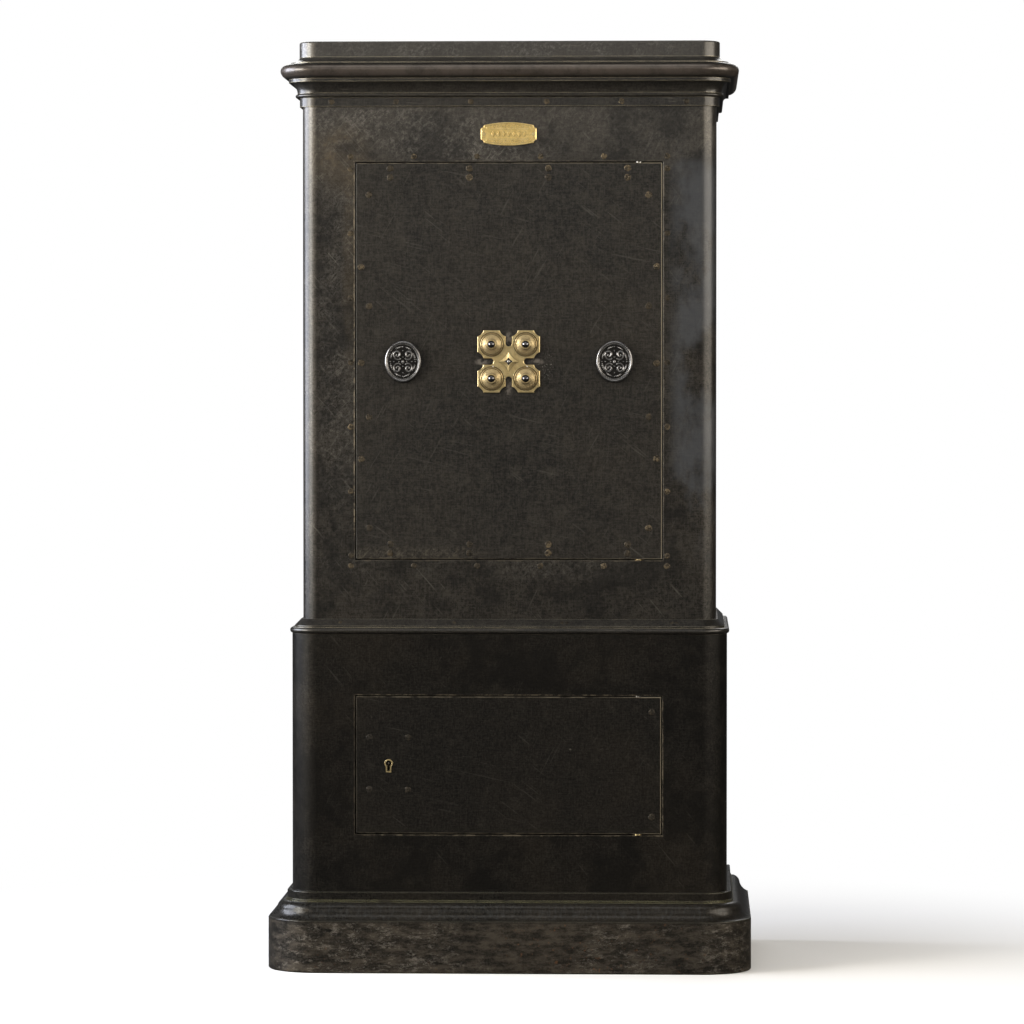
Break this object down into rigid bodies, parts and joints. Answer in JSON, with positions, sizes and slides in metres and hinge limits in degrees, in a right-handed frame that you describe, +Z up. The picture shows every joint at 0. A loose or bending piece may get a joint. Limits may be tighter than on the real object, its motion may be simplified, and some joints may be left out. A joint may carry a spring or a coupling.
{
  "type": "safe",
  "caption": "Tall two-part antique safe: riveted chest with flush door, combination dials and keyhole covers, on a plinth cabinet with its own keyed door, cornice above.",
  "frame": {"origin": "middle of the floor footprint, under the plinth", "axes": "+Z up, +X to the right seen from the front, the doors face -Y"},
  "size_m": [0.836, 0.523, 1.6],
  "materials": {
    "casing_steel": "blackened wrought plate, worn and waxed",
    "moulding_iron": "blackened and polished by handling",
    "door_steel": "blackened plate, finely scratched",
    "rivet_steel": "flush filed rivet heads",
    "frame_iron": "dark machined iron",
    "painted_lining": "old oxide red paint",
    "packed_fill": "sawdust and alum packing",
    "bright_steel": "bright turned steel",
    "lock_steel": "oiled steel",
    "medallion_steel": "polished dark cast iron",
    "brass": "turned and polished, mellowed"
  },
  "bodies": {
    "carcass": {"plinth_moulding": "moulding_iron", "bottom_plate": "casing_steel", "base_casing": "casing_steel", "base_back": "casing_steel", "base_top_plate": "casing_steel", "base_floor": "painted_lining", "base_door_frame": "frame_iron", "ledge_moulding": "moulding_iron", "ledge_screws": "bright_steel", "chest_casing": "casing_steel", "chest_back": "casing_steel", "frieze_band": "casing_steel", "cornice_moulding": "moulding_iron", "top_cap": "casing_steel", "chest_door_frame": "frame_iron", "casing_rivets": "rivet_steel", "inner_box": "painted_lining", "fireproof_fill": "packed_fill", "lower_shelf": "painted_lining", "upper_shelf": "painted_lining", "shelf_brackets": "painted_lining", "name_plate": "brass", "name_plate_screws": "brass", "pivot_pins": "bright_steel", "pivot_washers": "brass"},
    "main_door": {"door_plate": "door_steel", "door_rivets": "rivet_steel", "door_box": "frame_iron", "door_fill": "packed_fill", "door_rear_cover": "frame_iron", "rear_cover_screws": "bright_steel", "combination_plate": "brass", "combination_pin": "bright_steel", "combination_case": "brass", "cover_studs": "bright_steel", "key_bush": "brass", "crank_bush": "brass", "spindle_bearing": "lock_steel", "key_lock_case": "lock_steel"},
    "key_cover": {"key_cover": "medallion_steel"},
    "crank_cover": {"crank_cover": "medallion_steel"},
    "bolt_work": {"bolt_bar": "lock_steel", "door_bolts": "bright_steel"},
    "crank_spindle": {"crank_spindle": "bright_steel"},
    "key_lock_bolt": {"key_lock_bolt": "lock_steel"},
    "key_lock_levers": {"key_lock_levers": "brass"},
    "lower_door": {"lower_door_plate": "door_steel", "lower_door_rivets": "rivet_steel", "lower_keyhole_ring": "brass", "lower_lock_case": "lock_steel"},
    "lower_lock_bolt": {"lower_lock_bolt": "lock_steel"},
    "lower_lock_levers": {"lower_lock_levers": "brass"},
    "dial_1": {"dial_knob_1": "brass", "dial_arbor_1": "bright_steel"},
    "dial_2": {"dial_knob_2": "brass", "dial_arbor_2": "bright_steel"},
    "dial_3": {"dial_knob_3": "brass", "dial_arbor_3": "bright_steel"},
    "dial_4": {"dial_knob_4": "brass", "dial_arbor_4": "bright_steel"}
  },
  "joints": [
    {"name": "main_door_swing", "type": "hinge", "parent": "carcass", "child": "main_door", "pos_m": [0.2235, -0.192, 1.05], "axis": [0, 0, 1], "range_deg": [0, 105]},
    {"name": "lower_door_swing", "type": "hinge", "parent": "carcass", "child": "lower_door", "pos_m": [0.2225, -0.214, 0.355], "axis": [0, 0, 1], "range_deg": [0, 105]},
    {"name": "dial_turn_1", "type": "hinge", "parent": "main_door", "child": "dial_1", "pos_m": [-0.0294, -0.2063, 1.0789], "axis": [0, -1, 0], "continuous": true},
    {"name": "dial_turn_2", "type": "hinge", "parent": "main_door", "child": "dial_2", "pos_m": [0.0294, -0.2063, 1.0789], "axis": [0, -1, 0], "continuous": true},
    {"name": "dial_turn_3", "type": "hinge", "parent": "main_door", "child": "dial_3", "pos_m": [-0.0294, -0.2063, 1.0201], "axis": [0, -1, 0], "continuous": true},
    {"name": "dial_turn_4", "type": "hinge", "parent": "main_door", "child": "dial_4", "pos_m": [0.0294, -0.2063, 1.0201], "axis": [0, -1, 0], "continuous": true},
    {"name": "key_cover_swing", "type": "hinge", "parent": "main_door", "child": "key_cover", "pos_m": [-0.182, -0.206, 1.0765], "axis": [0, -1, 0], "range_deg": [-110, 110]},
    {"name": "crank_cover_swing", "type": "hinge", "parent": "main_door", "child": "crank_cover", "pos_m": [0.182, -0.206, 1.0765], "axis": [0, -1, 0], "range_deg": [-110, 110]},
    {"name": "bolt_throw", "type": "slide", "parent": "main_door", "child": "bolt_work", "axis": [-1, 0, 0], "range_m": [0, 0.024]},
    {"name": "crank_turn", "type": "hinge", "parent": "main_door", "child": "crank_spindle", "pos_m": [0.182, -0.18, 1.0495], "axis": [0, 1, 0], "range_deg": [0, 90]},
    {"name": "key_bolt_drop", "type": "slide", "parent": "main_door", "child": "key_lock_bolt", "axis": [0, 0, -1], "range_m": [0, 0.008]},
    {"name": "key_lever_lift", "type": "hinge", "parent": "main_door", "child": "key_lock_levers", "pos_m": [-0.112, -0.166, 1.0675], "axis": [0, 1, 0], "range_deg": [0, 6]},
    {"name": "lower_bolt_throw", "type": "slide", "parent": "lower_door", "child": "lower_lock_bolt", "axis": [-1, 0, 0], "range_m": [0, 0.014]},
    {"name": "lower_lever_lift", "type": "hinge", "parent": "lower_door", "child": "lower_lock_levers", "pos_m": [-0.1774, -0.19, 0.3678], "axis": [0, 1, 0], "range_deg": [0, 6]}
  ],
  "couplings": [
    {"joint": "crank_turn", "follows": "bolt_throw", "rad_per_m": 62.5}
  ]
}
